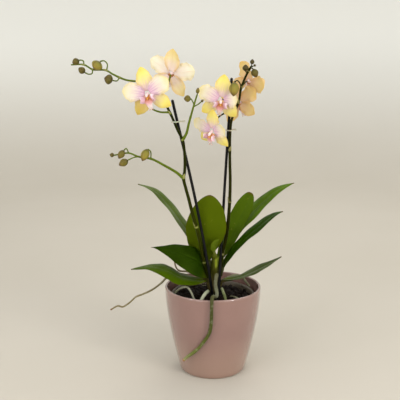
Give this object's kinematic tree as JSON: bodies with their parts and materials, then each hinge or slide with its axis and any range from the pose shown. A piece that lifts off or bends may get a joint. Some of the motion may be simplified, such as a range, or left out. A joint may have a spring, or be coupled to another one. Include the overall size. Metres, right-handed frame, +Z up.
{
  "type": "potted phalaenopsis orchid",
  "caption": "Moth orchid with yellow and pink flowers on two staked arching spikes, strap leaves and aerial roots, standing in a rounded pink glazed pot.",
  "frame": {"origin": "centre of the pot's flat underside, on the surface it stands on", "axes": "+Z up, +X to the plant's right as it is shown, -Y towards the viewer and the front flowers"},
  "size_m": [0.304, 0.1414, 0.4457],
  "materials": {
    "glaze": "pale dusty pink gloss glaze",
    "growing_pot": "thin clear plastic, stained by the bark behind it",
    "bark": "damp dark bark",
    "crown": "waxy olive green stem with dry sheaths",
    "leaf": "waxy semi-gloss green",
    "spike": "waxy dark green stalk, olive buds",
    "stake": "dark green-black coated cane",
    "clip": "pale translucent plastic",
    "root": "silver-green matt root skin",
    "tepal": "soft matt yellow with a pink flush",
    "lip": "pink-purple with an orange throat"
  },
  "bodies": {
    "root": {"cache_pot": "glaze", "growing_pot": "growing_pot", "crown_stem": "crown", "leaf_left_upper": "leaf", "leaf_left_middle": "leaf", "leaf_left_lower": "leaf", "leaf_centre": "leaf", "leaf_right_upright": "leaf", "leaf_right_upper": "leaf", "leaf_right_middle": "leaf", "leaf_right_lower": "leaf", "leaf_young": "leaf", "stake_left": "stake", "stake_right": "stake", "spike_left": "spike", "spike_right": "spike", "clip_left": "clip", "clip_right": "clip", "root_over_rim": "root", "root_left_aerial": "root", "root_silver": "root", "root_pale": "root", "root_green": "root", "bark_mix": "bark", "flower_left_front_dorsal_sepal": "tepal", "flower_left_front_left_sepal": "tepal", "flower_left_front_right_sepal": "tepal", "flower_left_front_left_petal": "tepal", "flower_left_front_right_petal": "tepal", "flower_left_front_lip": "lip", "flower_left_back_dorsal_sepal": "tepal", "flower_left_back_left_sepal": "tepal", "flower_left_back_right_sepal": "tepal", "flower_left_back_left_petal": "tepal", "flower_left_back_right_petal": "tepal", "flower_left_back_lip": "lip", "flower_right_top_dorsal_sepal": "tepal", "flower_right_top_left_sepal": "tepal", "flower_right_top_right_sepal": "tepal", "flower_right_top_left_petal": "tepal", "flower_right_top_right_petal": "tepal", "flower_right_top_lip": "lip", "flower_right_low_dorsal_sepal": "tepal", "flower_right_low_left_sepal": "tepal", "flower_right_low_right_sepal": "tepal", "flower_right_low_left_petal": "tepal", "flower_right_low_right_petal": "tepal", "flower_right_low_lip": "lip", "flower_right_side_dorsal_sepal": "tepal", "flower_right_side_left_sepal": "tepal", "flower_right_side_right_sepal": "tepal", "flower_right_side_left_petal": "tepal", "flower_right_side_right_petal": "tepal", "flower_right_side_lip": "lip", "flower_right_rear_dorsal_sepal": "tepal", "flower_right_rear_left_sepal": "tepal", "flower_right_rear_right_sepal": "tepal", "flower_right_rear_left_petal": "tepal", "flower_right_rear_right_petal": "tepal", "flower_right_rear_lip": "lip"}
  },
  "joints": []
}
